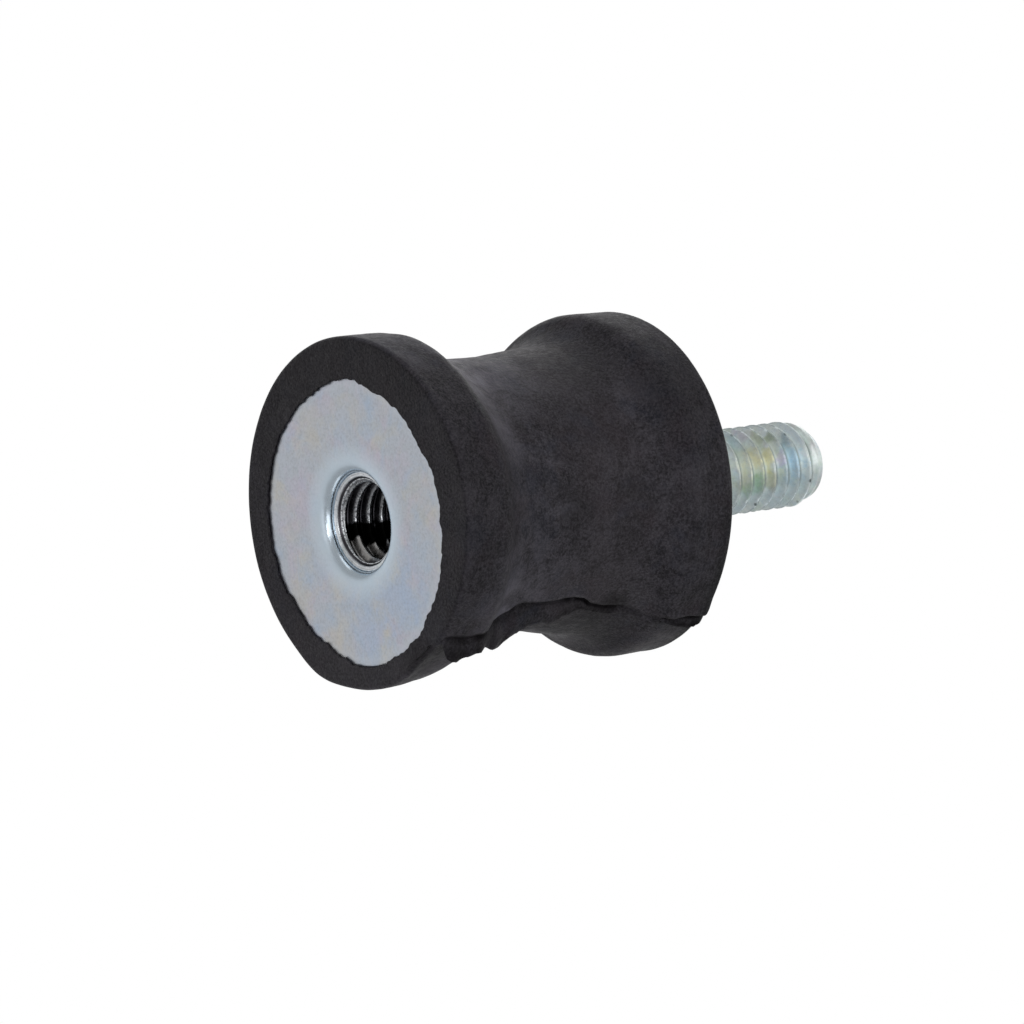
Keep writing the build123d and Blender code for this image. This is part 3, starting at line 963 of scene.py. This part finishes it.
def plate_material():
    made = zinc(
        "zinc_plate_satin",
        (0.600, 0.640, 0.705),
        [
            ((0.68, 0.605, 0.70), 230, 0.48, 0.64, 0.60),
            ((0.70, 0.665, 0.575), 210, 0.50, 0.66, 0.62),
            ((0.50, 0.625, 0.790), 190, 0.50, 0.66, 0.62),
            ((0.54, 0.57, 0.60), 800, 0.52, 0.72, 0.50),
        ],
        0.42, 3900, 0.000014,
        spots=[
            ((0.52, 0.62, 0.800), (6.5, -5.4, 0.2), 3.4, 0.60),
            ((0.53, 0.63, 0.800), (9.6, -0.7, 0.2), 2.8, 0.50),
            ((0.53, 0.64, 0.780), (3.1, -8.0, 0.2), 2.6, 0.45),
            ((0.66, 0.600, 0.72), (-2.0, 7.6, 0.2), 2.8, 0.45),
            ((0.68, 0.645, 0.570), (6.7, 8.8, 0.2), 2.6, 0.50),
            ((0.68, 0.640, 0.580), (10.9, 3.7, 0.2), 2.4, 0.45),
            ((0.66, 0.640, 0.600), (-8.0, 5.2, 0.2), 3.0, 0.45),
            ((0.66, 0.650, 0.600), (-2.0, -9.3, 0.2), 2.6, 0.40),
        ],
        grain=0.30,
    )
    g, c = made[1], made[3]
    r = radius(g)
    # painted reflection: a pale blue halo where the face dips to the hole, whose mouth is burnished
    c = g.mix(g.math("MULTIPLY", g.span(r, 0.0070, 0.0050), 0.85), c, (0.71, 0.83, 0.93))
    # and the blanked edge, rubbed bright
    c = g.mix(g.math("MULTIPLY", g.span(r, 0.0112, 0.0118), 0.30), c, (0.74, 0.78, 0.84))
    return finish(made, g.span(r, 0.00435, 0.00505, 0.50, 1.0), c)


def bush_material():
    made = zinc(
        "zinc_bush_bright",
        (0.80, 0.83, 0.87),
        [((0.70, 0.68, 0.76), 700, 0.5, 0.7, 0.2), ((0.52, 0.62, 0.58), 600, 0.52, 0.7, 0.5)],
        0.26, 2600, 0.000030, grain=0.6,
    )
    g, c = made[1], made[3]
    v = g.coords()
    tc = g.node("ShaderNodeTexCoord")
    sep = g.node("ShaderNodeSeparateXYZ")
    g.link(tc.outputs["Object"], sep.inputs[0])
    x, y, z = sep.outputs["X"], sep.outputs["Y"], sep.outputs["Z"]
    turn = g.math("ARCTAN2", y, x)
    r = radius(g)
    rag = g.noise(v, 5200, 3, 0.7).outputs["Fac"]
    broad = g.noise(v, 900, 2, 0.5).outputs["Fac"]
    # painted shade in the bore: the threads are darkened near black and their torn crests keep the metal's colour,
    # less so with depth
    crest = g.span(g.math("ADD", r, g.span(rag, 0.3, 0.7, -0.00012, 0.00012)), 0.00362, 0.00346)
    crest_unshaded = g.math("MULTIPLY", crest, g.span(z, 0.0010, 0.0085, 1.0, 0.45))
    crest_unshaded = g.math("MULTIPLY", crest_unshaded, g.span(rag, 0.38, 0.60, 0.10, 0.95))
    # the burr at the first turn
    burr = g.math("MULTIPLY", g.span(r, 0.00354, 0.00358), g.span(r, 0.00370, 0.00366))
    burr = g.math("MULTIPLY", burr, g.span(rag, 0.36, 0.52))
    crest_unshaded = g.math("MAXIMUM", crest_unshaded, g.math("MULTIPLY", burr, g.span(z, 0.00175, 0.00165)))
    bore_shade = g.mix(crest_unshaded, (0.060, 0.058, 0.066), c)
    # a painted pool of light low on the near wall
    leant = g.math("SUBTRACT", turn, g.span(z, 0.0046, 0.0020, 0.0, 0.26))
    lit_patch = g.math("MULTIPLY", g.span(turn, 0.28, 0.42), g.span(leant, 0.98, 0.90))
    lit_patch = g.math("MULTIPLY", lit_patch, g.math("MULTIPLY", g.span(z, 0.0018, 0.0021), g.span(z, 0.0048, 0.0042)))
    scored = g.noise(g.coords(scale=(1, 1, 9)), 700, 3, 0.6).outputs["Fac"]
    bore_shade = g.mix(g.math("MULTIPLY", lit_patch, g.span(scored, 0.35, 0.65, 0.40, 1.0)), bore_shade, (0.62, 0.60, 0.58))
    # painted shadow: a black band across the threads deeper in the bore
    wave = g.span(broad, 0.3, 0.7, -0.12, 0.12)
    bore_shadow = g.math("MULTIPLY", g.span(g.math("ADD", leant, wave), 0.90, 0.97), g.span(g.math("ADD", turn, wave), 1.50, 1.42))
    bore_shadow = g.math("MULTIPLY", bore_shadow, g.span(z, 0.0019, 0.0022))
    bore_shade = g.mix(bore_shadow, bore_shade, (0.002, 0.002, 0.002))
    # painted shade: the chamfer behind the end ring is dark too
    inside = g.span(z, 0.00124, 0.00132)
    c = g.mix(inside, c, bore_shade)
    return finish(made, None, c)


def stud_material():
    made = zinc(
        "zinc_stud_yellow_green",
        (0.92, 1.00, 0.98),
        [
            ((0.74, 0.90, 0.78), 420, 0.50, 0.68, 0.50),
            ((0.72, 0.86, 1.0), 380, 0.50, 0.66, 0.50),
            ((0.95, 0.88, 0.95), 520, 0.54, 0.70, 0.45),
        ],
        0.44, 3400, 0.000022,
        spots=[
            ((0.62, 0.78, 0.86), (2.4, -2.9, 46.4), 4.0, 0.50),
            ((0.60, 0.74, 0.78), (2.6, -2.7, 42.0), 3.0, 0.50),
            ((0.88, 0.92, 0.72), (-1.0, -3.6, 42.0), 2.9, 0.50),
            ((0.96, 0.93, 0.58), (-1.0, -3.6, 44.0), 1.4, 0.80),
            ((0.94, 0.90, 0.62), (-1.3, -3.5, 42.3), 1.3, 0.60),
            ((0.88, 0.86, 0.62), (0.8, -3.7, 41.2), 1.5, 0.55),
            ((0.80, 0.78, 0.50), (0.9, -3.6, 44.3), 1.3, 0.60),
            ((0.60, 0.68, 0.44), (-2.85, -2.4, 44.2), 1.3, 0.65),
            ((0.42, 0.50, 0.36), (-2.75, -2.5, 45.8), 0.9, 0.70),
            ((0.50, 0.78, 0.56), (1.4, -3.5, 42.4), 1.5, 0.55),
            ((0.26, 0.42, 0.54), (-2.3, -3.0, 46.8), 1.1, 0.75),
            ((0.68, 0.90, 1.00), (-0.9, -3.6, 47.0), 1.8, 0.85),
            ((0.52, 0.74, 0.92), (0.4, -3.7, 47.0), 1.8, 0.55),
            ((0.82, 0.70, 0.92), (-0.8, -3.7, 45.5), 0.9, 0.65),
            ((0.56, 0.76, 0.82), (-2.9, -2.4, 41.2), 1.4, 0.55),
            ((0.78, 0.70, 0.84), (-3.3, -1.8, 43.0), 1.1, 0.50),
        ],
        specks=[
            ((-3.4, -1.9, 41.6), 0.26), ((-2.6, -2.9, 41.0), 0.26), ((1.3, -3.7, 44.25), 0.22),
            ((3.1, -2.3, 43.3), 0.24), ((3.45, -1.8, 47.2), 0.30), ((3.5, -1.6, 48.8), 0.28),
            ((1.5, -3.6, 49.0), 0.24), ((-2.9, -2.6, 47.3), 0.24), ((0.6, -3.85, 48.2), 0.20),
        ],
        grain=0.30,
    )
    g, c = made[1], made[3]
    r = radius(g)
    tc = g.node("ShaderNodeTexCoord")
    sep = g.node("ShaderNodeSeparateXYZ")
    g.link(tc.outputs["Object"], sep.inputs[0])
    x, z = sep.outputs["X"], sep.outputs["Z"]
    # painted shade: dark roots, and crests darkened away from the near side, with random dull patches along them
    root = g.span(r, 0.00324, 0.00312, 0.0, 0.70)
    c = g.mix(root, c, (0.20, 0.27, 0.27))
    crest = g.math("MULTIPLY", g.span(r, 0.00378, 0.00387), g.span(z, 0.0490, 0.0484))
    away = g.math("MAXIMUM", g.span(x, -0.0012, -0.0026), g.span(x, 0.0016, 0.0030))
    torn = g.noise(g.coords(), 1300, 3, 0.6).outputs["Fac"]
    crest_shade_and_mottle = g.math("ADD", g.span(away, 0.0, 1.0, 0.0, 0.42), g.span(torn, 0.44, 0.60, 0.0, 0.45))
    c = g.mix(g.math("MULTIPLY", crest, crest_shade_and_mottle), c, (0.36, 0.43, 0.44))
    return finish(made, None, c)


rubber_mat = rubber_material()
plate_mat = plate_material()
bush_mat = bush_material()
stud_mat = stud_material()
for ob, mat in ((rubber_ob, rubber_mat), (stud_ob, stud_mat), (bush_ob, bush_mat), (female_ob, plate_mat), (male_ob, plate_mat)):
    ob.data.materials.append(mat)
for node, mat in (
    ("rubber_body", rubber_mat), ("threaded_stud", stud_mat), ("threaded_bush", bush_mat),
    ("female_end_disc", plate_mat), ("male_end_disc", plate_mat),
):
    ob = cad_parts[node]
    ob = bpy.data.objects[ob] if isinstance(ob, str) else ob
    for k in range(len(ob.material_slots)):
        ob.material_slots[k].material = mat


# ------------------------------------------------------------------ floor, light, camera
def floor():
    """A wide pale floor, seen from above only, that fades into the white of the studio."""
    radii = [0.02, 0.05, 0.1, 0.2, 0.35, 0.6, 0.9, 1.3, 1.8, 2.4, 3.0]
    n = 96
    verts = [(0.0, 0.0, -0.00003)]
    faces = []
    for r in radii:
        for k in range(n):
            a = TURN * k / n
            verts.append((r * math.cos(a), r * math.sin(a), -0.00003))
    for k in range(n):
        faces.append((0, 1 + k, 1 + (k + 1) % n))
    for j in range(len(radii) - 1):
        b = 1 + j * n
        for k in range(n):
            k2 = (k + 1) % n
            faces.append((b + k, b + n + k, b + n + k2, b + k2))
    me = bpy.data.meshes.new("floor")
    me.from_pydata(verts, [], faces)
    me.update()
    ob = bpy.data.objects.new("floor", me)
    bpy.context.scene.collection.objects.link(ob)
    m = bpy.data.materials.new("floor_paper")
    m.use_nodes = True
    nt = m.node_tree
    g = Net(nt)
    bsdf = nt.nodes["Principled BSDF"]
    bsdf.inputs["Base Color"].default_value = (0.50, 0.50, 0.50, 1)
    bsdf.inputs["Roughness"].default_value = 0.9
    bsdf.inputs["Specular IOR Level"].default_value = 0.0
    bsdf.inputs["Emission Color"].default_value = (1.0, 1.0, 1.0, 1)
    g.link(g.span(radius(g), 0.05, 0.60, 0.50, 0.82), bsdf.inputs["Emission Strength"])
    geo = g.node("ShaderNodeNewGeometry")
    clear = g.node("ShaderNodeBsdfTransparent")
    mixer = g.node("ShaderNodeMixShader")
    g.link(geo.outputs["Backfacing"], mixer.inputs[0])
    g.link(bsdf.outputs[0], mixer.inputs[1])
    g.link(clear.outputs[0], mixer.inputs[2])
    g.link(mixer.outputs[0], nt.nodes["Material Output"].inputs["Surface"])
    me.materials.append(m)
    ob.visible_diffuse = False
    ob.visible_glossy = False
    ob.visible_transmission = False
    ob.visible_shadow = False
    return ob


floor()

WORLD = 0.37
world = bpy.data.worlds.new("studio")
bpy.context.scene.world = world
world.use_nodes = True
wnt = world.node_tree
for n in list(wnt.nodes):
    wnt.nodes.remove(n)
w = Net(wnt)
out = w.node("ShaderNodeOutputWorld")
seen = w.node("ShaderNodeBackground")
seen.inputs["Color"].default_value = (1, 1, 1, 1)
seen.inputs["Strength"].default_value = 1.0
glow = w.node("ShaderNodeBackground")
glow.inputs["Strength"].default_value = WORLD
glow.inputs["Color"].default_value = (1.0, 1.0, 1.0, 1)
path = w.node("ShaderNodeLightPath")
both = w.node("ShaderNodeMixShader")
w.link(path.outputs["Is Camera Ray"], both.inputs[0])
w.link(glow.outputs[0], both.inputs[1])
w.link(seen.outputs[0], both.inputs[2])
w.link(both.outputs[0], out.inputs["Surface"])


MID = Vector((0.0, 0.0, 0.02))
# name, direction from the object, distance and side in metres, watts
LIGHTS = [
    ("top", (-1.0, 0.0, 0.0), 0.6, 0.45, 0.42),
    ("top_back", (-0.50, 0.52, 0.70), 0.6, 0.45, 0.46),
    ("right", (-0.1, 0.1, 1.0), 0.6, 0.45, 0.34),
    ("behind", (0.0, 1.0, 0.0), 0.6, 0.45, 0.20),
    ("back_left", (0.07, 0.78, -0.62), 0.6, 0.45, 0.185),
    ("left", (0.0, 0.12, -1.0), 0.6, 0.30, 0.15),
    ("front_left", (-0.16, -0.52, -0.84), 0.6, 0.12, 0.24),
    ("front", (-0.03, -0.85, -0.52), 0.6, 0.45, 0.60),
    ("front_right", (-0.1, -0.8, 0.6), 0.6, 0.45, 0.42),
    ("under", (1.0, 0.0, 0.0), 0.6, 0.45, 0.40),
    ("under_back", (0.6, 0.6, 0.5), 0.6, 0.45, 0.12),
    ("back_right", (0.0, 0.8, 0.6), 0.6, 0.45, 0.48),
]
for name, way, far, side, watts in LIGHTS:
    if watts <= 0:
        continue
    lamp = bpy.data.lights.new(name, "AREA")
    lamp.shape = "SQUARE"
    lamp.size = side
    lamp.energy = watts
    way = Vector(way).normalized()
    ob = bpy.data.objects.new(name, lamp)
    ob.location = MID + way * far
    ob.rotation_mode = "QUATERNION"
    ob.rotation_quaternion = (-way).to_track_quat("-Z", "Y")
    ob.visible_camera = False
    bpy.context.scene.collection.objects.link(ob)

# camera: measured from the photograph's outline
cam_data = bpy.data.cameras.new("camera")
cam_data.sensor_fit = "HORIZONTAL"
cam_data.sensor_width = 36.0
cam_data.lens = 187.624
cam_data.clip_start, cam_data.clip_end = 0.02, 20.0
cam = bpy.data.objects.new("camera", cam_data)
bpy.context.scene.collection.objects.link(cam)
right = Vector((0.083966, -0.624094, 0.776824))
down = Vector((0.994209, 0.0, -0.107463))
ahead = Vector((0.067067, 0.781349, 0.62048))
rot = Matrix((right, -down, -ahead)).transposed()
cam.matrix_world = Matrix.Translation((-0.030185, -0.362376, -0.270489)) @ rot.to_4x4()
bpy.context.scene.camera = cam

scene = bpy.context.scene
scene.view_settings.view_transform = "Standard"
scene.view_settings.look = "None"
scene.view_settings.exposure = 0.0
scene.view_settings.gamma = 1.0
